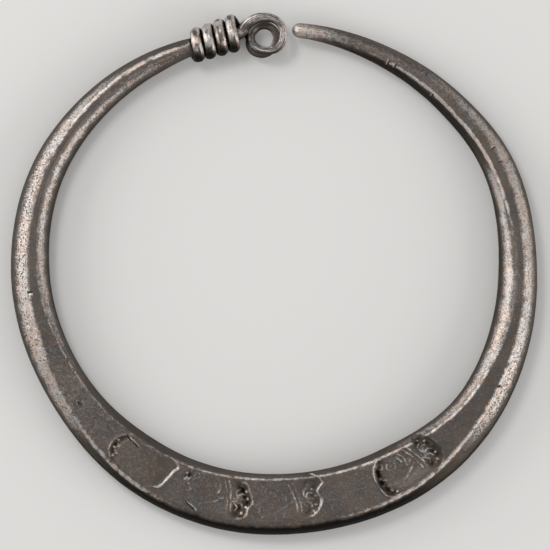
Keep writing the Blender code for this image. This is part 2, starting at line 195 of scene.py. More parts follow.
def right_arm(tip_angle):
    """The places from the tip to the middle of the right arm, where 0 is +X."""
    arm, tip, thick = ARM_WIDTH, TIP_WIDTH, ARM_THICKNESS
    return [
        Place(tip_angle, 1.055, tip, tip, 1.0, -0.45, 0.45),
        Place(tip_angle * 0.70, 1.037, mix(tip, arm, 0.33), mix(tip, thick, 0.37), 0.8, -0.33, 0.50),
        Place(tip_angle * 0.52, 1.036, mix(tip, arm, 0.53), mix(tip, thick, 0.57), 0.4, -0.40, 0.42),
        Place(tip_angle * 0.35, 1.043, mix(tip, arm, 0.70), mix(tip, thick, 0.77), 0.0, -0.44, 0.32),
    ]


def band_to_neck():
    """The places from the right arm round the band and the left arm to the neck."""
    arm, band, neck = ARM_WIDTH, BAND_WIDTH, NECK_WIDTH
    thick, flat = ARM_THICKNESS, BAND_THICKNESS
    return [
        Place(0.0, 1.007, arm, thick, 0.0, -0.10, 0.33),
        Place(-30.0, 0.994, mix(arm, band, 0.34), mix(flat, thick, 0.85), 0.0, -0.53, 0.29),
        Place(-60.0, 0.920, band, flat, 0.0, -0.76, 0.65),
        Place(-90.0, 0.895, band, flat, 0.0, -0.84, 0.67),
        Place(-120.0, 0.902, mix(arm, band, 0.83), flat, 0.0, -0.72, 0.70),
        Place(-150.0, 0.941, mix(arm, band, 0.25), mix(flat, thick, 0.60), 0.0, -0.69, 0.40),
        Place(-180.0, 0.987, arm, thick, 0.0, -0.40, 0.10),
        Place(-210.0, 1.020, mix(neck, arm, 0.70), mix(neck, thick, 0.78), 0.0, -0.16, 0.18),
        Place(-240.0, 1.021, mix(neck, arm, 0.25), mix(neck, thick, 0.27), 0.6, -0.15, 0.40),
        Place(NECK_ANGLE, 1.027, neck, neck, 1.0, -0.30, 0.30),
    ]


# How far the front facet's two edges are rounded, inner and outer, by the angle
RIDGE_ROUNDING = [
    (NECK_ANGLE, 0.35, 0.35),
    (-225, 0.22, 0.22),
    (-200, 0.24, 0.26),
    (-170, 0.28, 0.32),
    (-140, 0.35, 0.4),
    (-118, 0.3, 0.5),
    (-104, 0.26, 0.9),
    (-80, 0.25, 0.9),
    (-60, 0.24, 0.32),
    (-30, 0.35, 0.4),
    (0, 0.45, 0.45),
    (35, 0.26, 0.7),
    (60, 0.24, 0.8),
    (84, 0.5, 0.5),
]

# How bare the hoop's metal is, by the angle: inner bevel, front facet, outer bevel and sides.
# The bevels' bright bands are partly wear and partly painted highlight, and the sides' low values
# are painted shade.
BARENESS_AND_HIGHLIGHT = [
    (NECK_ANGLE, 0.3, 0.25, 0.15, 0.06),
    (-240, 0.55, 0.1, 0.12, 0.05),
    (-230, 0.72, 0.06, 0.55, 0.05),
    (-218, 0.8, 0.06, 0.85, 0.06),
    (-200, 0.78, 0.07, 0.68, 0.07),
    (-180, 0.76, 0.09, 0.88, 0.08),
    (-165, 0.55, 0.14, 1.05, 0.08),
    (-148, 0.25, 0.25, 0.85, 0.06),
    (-134, 0.18, 0.18, 0.4, 0.03),
    (-125, 0.2, 0.15, 0.08, 0.0),
    (-62, 0.25, 0.15, 0.05, 0.0),
    (-45, 0.65, 0.1, 0.22, 0.02),
    (-28, 0.76, 0.08, 0.76, 0.05),
    (-10, 0.8, 0.1, 0.74, 0.08),
    (0, 1.05, 0.12, 0.74, 0.12),
    (21, 1.0, 0.05, 0.84, 0.1),
    (29, 0.2, 0.08, 0.8, 0.08),
    (38, 0.05, 0.12, 0.74, 0.06),
    (52, 0.05, 0.22, 0.42, 0.06),
    (70, 0.05, 0.25, 0.22, 0.06),
    (78, 0.4, 0.65, 0.5, 0.25),
    (86, 0.95, 1.1, 0.95, 0.6),
]

# How bare the front facet's two ridges are, inner and outer, and how dense the pits are on
# the outer bevel. The ridges' bright lines are partly wear and partly painted highlight.
RIDGES = [
    (NECK_ANGLE, 0.3, 0.6, 0.2),
    (-240, 0.4, 1.8, 0.1),
    (-230, 0.25, 1.5, 0.2),
    (-215, 0.05, 0.7, 0.5),
    (-196, 0.05, 0.5, 0.8),
    (-180, 0.4, 0.4, 0.9),
    (-155, 0.7, 0.8, 1.0),
    (-135, 0.45, 1.6, 0.6),
    (-124, 0.45, 1.4, 0.4),
    (-116, 0.6, 0.55, 0.3),
    (-104, 0.95, 0.3, 0.3),
    (-80, 1.0, 0.3, 0.2),
    (-64, 1.3, 0.95, 0.2),
    (-40, 1.2, 1.2, 0.6),
    (-24, 0.8, 1.0, 0.8),
    (-8, 0.3, 0.5, 0.4),
    (8, 0.2, 0.6, 0.4),
    (18, 1.3, 0.6, 0.4),
    (30, 2.8, 0.3, 0.3),
    (55, 1.5, 0.1, 0.2),
    (63, 0.5, 0.05, 0.1),
    (86, 0.3, 0.3, 0.0),
]

# How far the front facet's patina runs past its inner and its outer ridge, by the angle
PATINA_REACH = [
    (NECK_ANGLE, 0.17, 0.17),
    (-238, 0.32, 0.17),
    (-225, 0.52, 0.17),
    (-200, 0.5, 0.12),
    (-188, 0.25, 0.1),
    (-177, 0.17, 0.0),
    (-165, 0.17, -0.4),
    (-152, 0.17, -0.15),
    (-140, 0.17, 0.17),
    (-25, 0.17, 0.17),
    (-10, 0.4, 0.05),
    (0, 0.62, 0.0),
    (10, 0.62, -0.05),
    (20, 0.2, -0.2),
    (45, 0.17, -0.28),
    (60, 0.17, 0.17),
    (86, 0.17, 0.17),
]

# How dirty and shaded the hoop is, by the angle: inner bevel, outer bevel, outer side and inner
# side. Partly dirt and partly painted shade: the sides and the band's outer bevel are painted dark.
DIRT_AND_SHADE = [
    (NECK_ANGLE, 0.25, 0.25, 0.6, 0.6),
    (-232, 0.1, 0.15, 0.6, 0.72),
    (-210, 0.05, 0.0, 0.52, 0.72),
    (-180, 0.05, 0.0, 0.48, 0.7),
    (-160, 0.1, 0.0, 0.55, 0.7),
    (-148, 0.32, 0.05, 0.7, 0.7),
    (-136, 0.4, 0.5, 0.95, 0.7),
    (-120, 0.36, 0.95, 1.0, 0.72),
    (-90, 0.34, 1.0, 1.0, 0.72),
    (-62, 0.36, 0.92, 1.0, 0.72),
    (-48, 0.12, 0.5, 0.95, 0.65),
    (-35, 0.0, 0.1, 0.8, 0.65),
    (-10, 0.0, 0.0, 0.6, 0.65),
    (12, 0.0, 0.0, 0.5, 0.75),
    (21, 0.0, 0.0, 0.5, 0.8),
    (29, 0.45, 0.02, 0.5, 0.88),
    (38, 0.75, 0.08, 0.55, 0.95),
    (70, 0.8, 0.25, 0.65, 0.95),
    (80, 0.25, 0.15, 0.4, 0.5),
    (86, 0.0, 0.0, 0.1, 0.2),
]

# Small cuts from use, which lean by so many degrees from straight out
NICKS = [
    Nick(61.0, 35.9, 0.95, 0.0),
    Nick(59.2, 36.0, 0.85, 0.0),
    Nick(47.9, 35.75, 0.60, 0.0),
    Nick(29.5, 38.1, 0.60, 15.0),
    Nick(26.0, 37.9, 0.65, -15.0),
    Nick(-175.4, 36.2, 0.95, 0.0),
    Nick(-130.7, 32.6, 1.30, 81.0),
    Nick(-128.4, 32.7, 1.40, 81.0),
    Nick(-109.1, 36.9, 2.20, 69.0),
]

# Rough, dirty dents
DENTS = [
    Dent(-112.4, 32.7, 0.95),
    Dent(-26.3, 38.0, 0.70),
    Dent(-146.0, 34.8, 0.55),
]

EYE_TURNS = [
    Turn(-51, 1.2, 0.3),
    Turn(-15, 0.98, 0.74),
    Turn(18, 0.92, 0.87),
    Turn(63, 1.02, 0.87),
    Turn(108, 0.78, 0.83),
    Turn(153, 0.49, 0.7),
    Turn(198, 0.07, 0.48),
    Turn(243, 0.05, 0.13),
    Turn(288, 0.07, -0.42),
    Turn(320, 0.02, -0.86),
    Turn(378, 0.0, -0.74),
    Turn(468, 0.0, -0.62),
    Turn(513, 0.14, -0.68),
    Turn(558, 0.46, -0.9),
    Turn(603, 0.6, -1.24),
    Turn(640, 0.3, -1.6),
]

# How far a stamp's end wall moves out, from its outer side at -1 to its inner side at 1
STRAIGHT = [(-1.0, 0.0), (1.0, 0.0)]
NARROW_END = [(-1.0, -1.3), (-0.6, -0.3), (-0.2, 0.0), (0.3, -0.2), (1.0, -1.0)]
FIRST_BRACE = [
    (-1.0, -1.0), (-0.85, -1.04), (-0.15, -0.9), (0.45, -0.25), (0.68, 0.36), (1.0, -0.2),
]
SECOND_BRACE = [(-0.8, -0.26), (-0.37, -0.65), (-0.12, -0.1), (0.41, -0.45)]
THIRD_BRACE = [(-0.8, -0.45), (-0.14, -0.12), (0.24, -0.45), (0.68, 0.9)]

STRIKES = [
    Strike(
        -124.5, -0.3, -0.30, (0.26, 0.20), (1.0, 1.9), (0.75, 0.15), (0.8, 0.0),
        (NARROW_END, FIRST_BRACE),
    ),
    Strike(
        -103.6, -0.2, 0.5, (0.06, 0.34), (0.05, 1.3), (0.10, 0.82), (0.5, 1.0),
        (STRAIGHT, SECOND_BRACE),
    ),
    Strike(
        -86.4, -0.1, 0.5, (0.05, 0.26), (0.05, 1.3), (0.05, 0.45), (0.4, 0.9),
        (STRAIGHT, THIRD_BRACE),
    ),
    Strike(
        -54.6, -0.3, 0.5, (0.42, 0.26), (2.2, 0.6), (1.0, 0.75), (1.0, 1.0),
        (STRAIGHT, STRAIGHT),
    ),
]

# Sizes that follow from the ones above
HALF_OPENING = OPENING_WIDTH / 2
WRAP_PITCH = WRAP_BREADTH + WRAP_GAP
FIRST_SWING = 170.0
LAST_SWING = 180.0 - 360.0 * WRAPS + 30.0
FRONT_WRAP = WRAP_BREADTH / 2 + WRAP_GAP - WRAP_PITCH * LAST_SWING / 360.0
WINDING_END = FRONT_WRAP + WRAP_BREADTH / 2
NECK_HALF = NECK_WIDTH / 2
WINDING_RADIUS = NECK_HALF + WIRE_GAP + FIRST_WRAP_DEPTH
AXIS_HEIGHT = max(WINDING_RADIUS + FLOOR_GAP, ARM_THICKNESS / 2)
INNER_TURN = (EYE_HOLE + EYE_WIRE_WIDTH) / 2
EYE_ALONG = WINDING_END + EYE_CLEARANCE + EYE_HOLE / 2 + EYE_WIRE_WIDTH
EYE_DOWN = EYE_HOLE / 2 + EYE_WIRE_WIDTH * 0.62


def hermite(start, end, start_slope, end_slope, t):
    """A smooth curve from start to end, with its slopes there."""
    first = start * (2 * t**3 - 3 * t**2 + 1) + start_slope * (t**3 - 2 * t**2 + t)
    last = end * (3 * t**2 - 2 * t**3) + end_slope * (t**3 - t**2)
    return first + last


def smooth(rows, column, at):
    """Values on a smooth line through a table's rows, which never overshoots."""
    table = np.array(sorted(rows))
    xs, ys = table[:, 0], table[:, column]
    slopes = np.diff(ys) / np.diff(xs)
    product = slopes[:-1] * slopes[1:]
    total = np.where(product > 0.0, slopes[:-1] + slopes[1:], 1.0)
    inner = np.where(product > 0.0, 2.0 * product / total, 0.0)
    tangents = np.concatenate([slopes[:1], inner, slopes[-1:]])
    at = np.clip(np.asarray(at, float), xs[0], xs[-1])
    i = np.clip(np.searchsorted(xs, at, side="right") - 1, 0, len(xs) - 2)
    gap = xs[i + 1] - xs[i]
    return hermite(ys[i], ys[i + 1], gap * tangents[i], gap * tangents[i + 1], (at - xs[i]) / gap)


def by_ring(rows, angles):
    """Each column of a table at the rings' angles, shaped to go with a grid of points."""
    return [smooth(rows, k, angles)[:, None] for k in range(1, len(rows[0]))]


def bar_corners(width, thickness, ridge_in, ridge_out):
    """The hoop's section: a front facet, bevels, steep sides and a flat back."""
    shares = [(ridge_out, 0.5), (ridge_in, 0.5)]
    shares.append((ridge_in - (1.0 + ridge_in) * BEVEL_REACH, BEVEL_FOOT))
    shares += [(u * np.ones_like(width), v) for u, v in SIDES_AND_BACK]
    shares.append((ridge_out + (1.0 - ridge_out) * BEVEL_REACH, BEVEL_FOOT))
    return np.stack([np.stack([u * width / 2, v * thickness], -1) for u, v in shares], -2)


def wire_corners(width, depth, flatness=WIRE_FLATNESS):
    """The wire's section: a flattened round with as many corners as the bar's section."""
    edge, flat = flatness
    shares = [
        (edge, 0.5), (-edge, 0.5), (-1.0, flat), (-1.0, 0.0), (-1.0, -flat),
        (-edge, -0.5), (edge, -0.5), (1.0, -flat), (1.0, 0.0), (1.0, flat),
    ]
    return np.array([(u * width / 2, v * depth) for u, v in shares])


def rounded(corners, cuts, arc_steps, edge_steps):
    """Each section's outline, with its corners rounded and its edges divided."""
    before = np.roll(corners, 1, axis=1) - corners
    after = np.roll(corners, -1, axis=1) - corners
    long_before = np.linalg.norm(before, axis=2)
    long_after = np.linalg.norm(after, axis=2)
    cut = np.minimum(cuts, LARGEST_CUT * np.minimum(long_before, long_after))
    start = corners + before * (cut / long_before)[..., None]
    end = corners + after * (cut / long_after)[..., None]
    columns = []
    for i, steps in enumerate(edge_steps):
        following = (i + 1) % len(edge_steps)
        for t in np.linspace(0.0, 1.0, arc_steps + 1):
            bend = start[:, i] * (1 - t)**2 + corners[:, i] * 2 * t * (1 - t) + end[:, i] * t**2
            columns.append(bend)
        for t in np.linspace(0.0, 1.0, steps + 2)[1:-1]:
            columns.append(mix(end[:, i], start[:, following], t))
    return np.stack(columns, 1)


def place(rings, outline):
    """Points in space: (rings, columns, 3)."""
    across = rings.across[:, None, :] * outline[..., 0:1]
    up = rings.up[:, None, :] * outline[..., 1:2]
    return rings.centre[:, None, :] + across + up


def join(*parts):
    return Rings(*[np.concatenate(pieces) for pieces in zip(*parts)])


def unit(vectors):
    return vectors / np.linalg.norm(vectors, axis=-1, keepdims=True)


def turned_frame(centre, along, outward, corners):
    """Rings square to their direction of travel, with across pointing outward."""
    along = unit(along)
    across = unit(outward - along * np.sum(along * outward, -1, keepdims=True))
    return Rings(centre, across, np.cross(along, across), corners)


def hoop_sizes(angles):
    rows = right_arm(tip_angle()) + band_to_neck()
    return [smooth(rows, k, angles) for k in range(1, len(Place._fields))]


def hoop_middle(inner, width, thickness, lift):
    radius = inner * HALF_OPENING + width / 2
    return radius, mix(thickness / 2, AXIS_HEIGHT, lift)


def hoop_rings(angles):
    inner, width, thickness, lift, ridge_in, ridge_out = hoop_sizes(angles)
    radius, height = hoop_middle(inner, width, thickness, lift)
    turn = np.radians(angles)
    zero = np.zeros_like(turn)
    centre = np.stack([radius * np.cos(turn), radius * np.sin(turn), height], -1)
    across = np.stack([np.cos(turn), np.sin(turn), zero], -1)
    up = np.stack([zero, zero, zero + 1.0], -1)
    return Rings(centre, across, up, bar_corners(width, thickness, ridge_in, ridge_out))


def neck_start():
    """The middle of the bar where the hoop ends and the straight neck begins."""
    end = band_to_neck()[-1]
    radius, height = hoop_middle(end.inner, end.width, end.thickness, end.lift)
    turn = math.radians(end.angle)
    return np.array([radius * math.cos(turn), radius * math.sin(turn), height])


# The neck's directions: towards the eye, across it and up
LEAN = math.radians(NECK_LEAN)
FORWARD = np.array([math.cos(LEAN), math.sin(LEAN), 0.0])
SIDEWAYS = np.array([-math.sin(LEAN), math.cos(LEAN), 0.0])
UPWARD = np.array([0.0, 0.0, 1.0])


def neck_point(along, above, height):
    """A place beside the neck: along it towards the eye, above it, and up from its axis."""
    parts = [np.asarray(value, float)[..., None] for value in (along, above, height)]
    return neck_start() + FORWARD * parts[0] + SIDEWAYS * parts[1] + UPWARD * parts[2]


def eye_point(turn):
    level = smooth(EYE_TURNS, 2, turn) * EYE_WIRE_DEPTH
    radius = INNER_TURN + smooth(EYE_TURNS, 1, turn) * EYE_WIRE_WIDTH
    swing = np.radians(turn)
    return neck_point(EYE_ALONG + radius * np.sin(swing), -EYE_DOWN + radius * np.cos(swing), level)


def eye_rings(turns):
    share = np.clip((turns - EYE_TURNS[0].turn) / (THIN_TURN - EYE_TURNS[0].turn), 0.0, 1.0)
    width = mix(SHOULDER_WIDTH, EYE_WIRE_WIDTH, share)
    depth = mix(SHOULDER_DEPTH, EYE_WIRE_DEPTH, np.sqrt(share))
    outward = eye_point(turns) - neck_point(EYE_ALONG, -EYE_DOWN, 0.0)
    outward[:, 2] = 0.0
    along = eye_point(turns + 1.0) - eye_point(turns - 1.0)
    corners = np.stack([wire_corners(w, d) for w, d in zip(width, depth)])
    return turned_frame(eye_point(turns), along, outward, corners)


def wrap_done(swing):
    return (180.0 - swing) / (360.0 * WRAPS)


def wrap_along(swing):
    """How far along the neck the winding is: each wrap leans, so it gains more behind."""
    return FRONT_WRAP + WRAP_PITCH * swing / 360.0 - WRAP_LEAN * np.sin(np.radians(swing))


def wrap_point(swing):
    depth = mix(FIRST_WRAP_DEPTH, LAST_WRAP_DEPTH, wrap_done(swing))
    radius = NECK_HALF + WIRE_GAP + depth / 2
    turn = np.radians(swing)
    return neck_point(wrap_along(swing), radius * np.sin(turn), radius * np.cos(turn))


def wrap_rings(swings):
    depth = mix(FIRST_WRAP_DEPTH, LAST_WRAP_DEPTH, wrap_done(swings))
    outward = wrap_point(swings) - neck_point(wrap_along(swings), 0.0, 0.0)
    along = wrap_point(swings - 1.0) - wrap_point(swings + 1.0)
    corners = np.stack([wire_corners(d, WRAP_BREADTH, WRAP_FLATNESS) for d in depth])
    return turned_frame(wrap_point(swings), along, outward, corners)


def neck_rings(shares):
    """Rings along the straight neck, which change from the bar's section to the wire's."""
    last = band_to_neck()[-1]
    sizes = (last.width, last.thickness, last.ridge_in, last.ridge_out)
    bar = bar_corners(*[np.array([size]) for size in sizes])[0]
    wire = wire_corners(NECK_WIDTH, NECK_WIDTH)
    wire = wire * NECK_HALF / np.linalg.norm(wire, axis=1).max()
    corners = np.stack([mix(bar, wire, share) for share in ease(0.0, SECTION_CHANGE, shares)])
    centre = neck_point(WINDING_END * shares, 0.0 * shares, 0.0 * shares)
    forward, sideways = [np.tile(way, (len(shares), 1)) for way in (FORWARD, SIDEWAYS)]
    return turned_frame(centre, forward, sideways, corners)


def ring_at(rings, index):
    return Rings(*[array[index] for array in rings])


def along_of(rings):
    return np.cross(rings.across, rings.up)


def bridge(before, after, steps):
    """Rings along a smooth curve from one part's last ring to another part's first ring."""
    first, second = ring_at(before, -1), ring_at(after, 0)
    first_along, second_along = along_of(first), along_of(second)
    t = (np.arange(1, steps + 1) / (steps + 1))[:, None]
    reach = np.linalg.norm(second.centre - first.centre)
    centre = hermite(first.centre, second.centre, first_along * reach, second_along * reach, t)
    share = t * t * (3 - 2 * t)
    corners = mix(first.corners[None], second.corners[None], share[..., None])
    along = mix(first_along, second_along, share)
    return turned_frame(centre, along, mix(first.across, second.across, share), corners)


def blunt(rings, index, direction, depth, steps):
    """Ever smaller rings beyond one end, which round it off."""
    last = ring_at(rings, index)
    swing = np.radians(np.linspace(0.0, BLUNT_SWING, steps + 1)[1:])
    centre = last.centre + direction * (np.sin(swing) * depth)[:, None]
    corners = last.corners[None] * np.cos(swing)[:, None, None]
    count = len(swing)
    return Rings(centre, np.tile(last.across, (count, 1)), np.tile(last.up, (count, 1)), corners)


def tip_angle():
    """The angle of the tip's last full section, which leaves the gap to the eye."""
    eye = neck_point(EYE_ALONG, -EYE_DOWN, 0.0)
    eye_edge = INNER_TURN + float(smooth(EYE_TURNS, 1, 90.0)) * EYE_WIRE_WIDTH + EYE_WIRE_WIDTH / 2
    reach = eye_edge + TIP_GAP + TIP_WIDTH / 2
    return math.degrees(math.atan2(eye[1], eye[0]) - reach / math.hypot(eye[0], eye[1]))


def in_any(angles, arcs):
    return np.any([(angles >= low) & (angles <= high) for low, high in arcs], axis=0)


def ring_angles():
    """The hoop's ring angles, closer together where the stamps and the nicks are."""
    radius = HALF_OPENING * 1.04
    angles = [tip_angle()]
    while angles[-1] > NECK_ANGLE:
        here = angles[-1]
        gap = FINE_RING_GAP if in_any(here, [BAND_ARC, *NICK_ARCS]) else RING_GAP
        angles.append(here - math.degrees(gap / radius))
    angles[-1] = NECK_ANGLE
    return np.array(angles)


def normals_of(points):
    """Outward normals of a grid of points, closed across and open along."""
    along = np.gradient(points, axis=0)
    around = np.roll(points, -1, axis=1) - np.roll(points, 1, axis=1)
    return unit(np.cross(around, along) + 1e-6)


def cloud(points, size, seed):
    """Soft noise from -1 to 1 at each point, with lumps of a size."""
    flat = points.reshape(-1, 3) / size + SEED_SHIFT * seed
    values = np.array([noise.noise(point) for point in flat.tolist()])
    return values.reshape(points.shape[:-1])


def clouds(points, layers):
    """The sum of some layers of soft noise."""
    return sum(amount * cloud(points, size, seed) for amount, size, seed in layers)


def patchy(points, patches):
    """A share at each point that varies in patches."""
    share = patches.middle + patches.swing * cloud(points, patches.size, patches.seed)
    return np.clip(share, patches.low, patches.high)


def bell(value, middle, width):
    """1 at the middle, and less on both sides of it."""
    return np.exp(-((value - middle) / width)**2)


# The stamps' relief

def arc_distance(x, y, centre, radius, first, last):
    """How far points are from an arc."""
    dx = x - centre[0]
    dy = y - centre[1]
    middle = math.radians((first + last) / 2)
    half = math.radians(abs(last - first) / 2)
    swing = (np.arctan2(dy, dx) - middle + math.pi) % (2 * math.pi) - math.pi
    on_arc = np.abs(np.hypot(dx, dy) - radius)
    ends = []
    for angle in (math.radians(first), math.radians(last)):
        end = (radius * math.cos(angle), radius * math.sin(angle))
        ends.append(np.hypot(dx - end[0], dy - end[1]))
    return np.where(np.abs(swing) <= half, on_arc, np.minimum(*ends))


def path_distance(x, y, points):
    """How far points are from a line through other points."""
    best = np.full(x.shape, np.inf)
    for (x0, y0), (x1, y1) in zip(points, points[1:]):
        length = (x1 - x0)**2 + (y1 - y0)**2
        t = np.clip(((x - x0) * (x1 - x0) + (y - y0) * (y1 - y0)) / length, 0.0, 1.0)
        best = np.minimum(best, np.hypot(x - mix(x0, x1, t), y - mix(y0, y1, t)))
    return best


def ridge(distance):
    """The height of a raised line at a distance from its middle."""
    return LINE_HEIGHT * (1.0 - ease(0.0, LINE_REACH, distance))


def dome(x, y, centre, radius=PELLET_RADIUS, height=PELLET_HEIGHT):
    away = np.hypot(x - centre[0], y - centre[1]) / radius
    return height * np.sqrt(np.clip(1.0 - away**2, 0.0, 1.0))


def scaled(points):
    return [(x * STAMP_LENGTH, y * STAMP_LENGTH) for x, y in points]


# The stamp's raised design, in shares of its length: x along the band, y inward
PELLETS = [
    (-0.447, 0.035), (-0.432, -0.070), (-0.372, -0.175), (-0.318, -0.225),
    (0.395, 0.120), (0.425, 0.020), (0.405, -0.095), (0.360, -0.185),
]
SMALL_PELLETS = [(0.235, 0.0), (0.325, 0.195), (0.325, -0.205), (-0.225, 0.115), (-0.405, 0.115)]
RING_CENTRE = (-0.372, 0.185)
ARC_CENTRE = (-0.235, 0.125)
# An arc's centre, its radius, and where it begins and ends
ARCS = [
    (RING_CENTRE, 0.040, 0.0, 359.9),
    (ARC_CENTRE, 0.055, 110.0, 250.0),
    (ARC_CENTRE, 0.075, -58.0, 58.0),
]
BARS = [
    [(0.050, 0.235), (0.110, 0.090), (0.140, -0.050), (0.150, -0.160)],
    [(0.115, 0.240), (0.175, 0.090), (0.200, -0.050), (0.208, -0.170)],
]
CHEVRONS = [
    [(-0.425, 0.000), (-0.372, -0.022), (-0.408, -0.050)],
    [(-0.405, -0.105), (-0.350, -0.105), (-0.372, -0.140)],
]
LONG_STROKE = [(-0.150, -0.150), (-0.030, -0.095), (0.080, -0.020)]
INNER_BOWS = [
    [(-0.040, 0.215), (-0.005, 0.150), (0.005, 0.080), (-0.010, 0.020)],
    [(-0.085, 0.190), (-0.060, 0.130), (-0.058, 0.085)],
]
LEAF_CENTRE = (0.0, 0.045)
LEAF_SIZE = (0.10, 0.060)
FAN_CENTRE = 0.235
FAN_BENDS = [(0.045, -0.55), (0.085, 0.05), (0.125, 0.12), (0.165, -0.12)]
FAN_TURNS = np.radians([-72.0, -36.0, 0.0, 36.0, 72.0])
FAN = [
    [(FAN_CENTRE + out * math.cos(turn + bent), out * math.sin(turn + bent)) for out, bent in FAN_BENDS]
    for turn in FAN_TURNS
]


def stamp_figures(x, y):
    """The height of the raised design over the stamp's floor."""
    heights = [dome(x, y, centre) for centre in scaled(PELLETS)]
    heights += [dome(x, y, centre, *SMALL_PELLET) for centre in scaled(SMALL_PELLETS)]
    heights.append(dome(x, y, scaled([RING_CENTRE])[0], *RING_DOT))
    for centre, radius, first, last in ARCS:
        centre = scaled([centre])[0]
        heights.append(ridge(arc_distance(x, y, centre, radius * STAMP_LENGTH, first, last)))
    for points in [*BARS, *CHEVRONS, LONG_STROKE, *INNER_BOWS, *FAN]:
        heights.append(ridge(path_distance(x, y, scaled(points))))
    leaf = scaled([LEAF_CENTRE])[0]
    away = np.hypot((x - leaf[0]) / LEAF_SIZE[0], (y - leaf[1]) / LEAF_SIZE[1]) / STAMP_LENGTH
    heights.append(LEAF_HEIGHT * (1.0 - ease(0.75, 1.0, away)))
    return np.maximum.reduce(heights)


def strike_middle(strike):
    """The radius of the middle of a strike."""
    inner, width, _, _, ridge_in, ridge_out = hoop_sizes(np.array([strike.angle]))
    middle = inner * HALF_OPENING + width / 2 * (1.0 + (ridge_in + ridge_out) / 2)
    return float(middle[0]) + strike.offset


def wall_distance(x, y):
    """How far points are inside the stamp's outline: straight long sides and bowed ends."""
    bow = STAMP_BOW * STAMP_LENGTH
    half_wide = STAMP_WIDTH / 2
    past = np.maximum(np.abs(x) - (STAMP_LENGTH / 2 - bow), 0.0)
    reach = np.hypot(past / bow, y / half_wide) + 1e-9
    slope = np.hypot(past / bow**2, y / half_wide**2) / reach + 1e-9
    return (1.0 - reach) / slope


Struck = namedtuple("Struck", "inside full ends wall shade hollow figure")


def strike_shape(strike, x, y, spots):
    """How far inside a strike's wall each point is, and how much each of its features acts there."""
    along = x / STAMP_LENGTH
    across = y / (STAMP_WIDTH / 2)
    last = ease(*LAST_HALF, along)
    bends = [smooth(bends, 1, across) for bends in strike.bends]
    bend = np.where(x > 0.0, bends[1], bends[0]) * ease(0.15, 0.35, np.abs(along))
    inside = wall_distance(x, y) + bend + clouds(spots, WALL_WAVES)
    ends = 1.0 - ease(0.25, 0.95, np.abs(across)) * (1.0 - ease(0.24, 0.38, np.abs(along)))
    shade = mix(*strike.shades, last)
    at_end = ease(mix(*HOLLOWS_BEGIN, last), mix(*HOLLOWS_FULL, last), np.abs(along))
    wide = mix(*TROUGH_WIDTHS, last)
    hollow = at_end * bell(inside, wide, wide * 0.9) * shade
    shown = (1.0 - ease(-0.04, 0.0, along - strike.shown)) * mix(*strike.figures, last)
    warp_x, warp_y = [FIGURE_WARP * cloud(spots, 0.9, seed) for seed in (14, 15)]
    figure = stamp_figures(x + warp_x, y + warp_y) * (shown * patchy(spots, FIGURE_PATCHES))
    full = ease(-WALL_WIDTH / 2, WALL_WIDTH / 2, inside)
    return Struck(inside, full, ends, mix(*strike.walls, last), shade, hollow, figure)


def lower_strike(heights, strike, struck, x):
    """The heights of the points after a strike, with a burr outside its end walls."""
    depth = mix(*strike.depths, np.clip(x / STAMP_LENGTH + 0.5, 0.0, 1.0))
    sunk = depth * (0.15 + 0.85 * struck.ends) + TROUGH_DEPTH * struck.hollow
    burr = BURR_HEIGHT * bell(struck.inside, *BURR_PLACE) * struck.wall * struck.ends
    return np.minimum(heights + (struck.figure - sunk) * struck.full, heights) + burr


def mark_strike(skin, near, struck, spots):
    """Marks a strike's bright lips and figures, and the dirt in its hollows and corners."""
    lip = bell(struck.inside, *LIP_PLACE) * struck.wall * patchy(spots, LIP_PATCHES) * struck.ends
    raised = np.clip(struck.figure / LINE_HEIGHT, 0.0, 1.0) * struck.full
    rubbed = raised * patchy(spots, RUBBED_PATCHES)
    skin.wear[near] = np.maximum(skin.wear[near], np.clip(lip + rubbed, 0.0, 1.0))
    corner = 0.8 * bell(struck.inside, *CORNER_PLACE) * (0.15 + 0.85 * struck.shade)
    corner = corner * (0.2 + 0.8 * struck.ends)
    dark = np.maximum(struck.hollow * patchy(spots, HOLLOW_PATCHES), corner) - 0.75 * raised
    dirt_and_shade = np.clip(np.maximum(skin.grime[near] * (1.0 - struck.full), dark), 0.0, 1.0)
    skin.grime[near] = dirt_and_shade * (1.0 - 0.9 * np.clip(lip, 0.0, 1.0))


def stamp_band(skin):
    """Lowers the points that the four strikes pushed in, and marks their wear and dirt."""
    points = skin.points
    angle = np.degrees(np.arctan2(points[..., 1], points[..., 0]))
    angle = np.where(angle > NECK_ANGLE + 360.0, angle - 360.0, angle)
    radius = np.hypot(points[..., 0], points[..., 1])
    for strike in STRIKES:
        middle = strike_middle(strike)
        x = np.radians(angle - strike.angle) * middle
        y = middle - radius
        near = (np.abs(x) < STAMP_LENGTH * 0.6) & (np.abs(y) < STAMP_WIDTH * 0.62)
        near &= points[..., 2] > BAND_THICKNESS * 0.72
        spots = points[near]
        struck = strike_shape(strike, x[near], y[near], spots)
        points[near, 2] = lower_strike(spots[:, 2], strike, struck, x[near])
        mark_strike(skin, near, struck, spots)


def polar_offsets(points, mark):
    """How far points are from a mark's middle: outward, and round the hoop."""
    turn = math.radians(mark.angle)
    out = points[..., 0] * math.cos(turn) + points[..., 1] * math.sin(turn) - mark.radius
    return out, points[..., 1] * math.cos(turn) - points[..., 0] * math.sin(turn)


def press_dents(skin):
    """Rough hollows with dirt in them and bright crumbs of metal."""
    points = skin.points
    for dent in DENTS:
        away = np.hypot(*polar_offsets(points, dent)) / dent.size
        near = (away < 1.4) & (points[..., 2] > BAND_THICKNESS * 0.6)
        spots = points[near]
        inside = 1.0 - ease(0.30, 1.0, away[near] + 0.60 * cloud(spots, 0.6, 31))
        crumbs = cloud(spots, 0.42, 32)
        points[near, 2] -= DENT_DEPTH * inside * (0.7 - 0.9 * crumbs)
        skin.grime[near] = np.maximum(skin.grime[near], inside * np.clip(0.55 - 1.8 * crumbs, 0.0, 0.8))
        skin.wear[near] = np.maximum(skin.wear[near], inside * np.clip(2.4 * crumbs - 0.2, 0.0, 0.8))


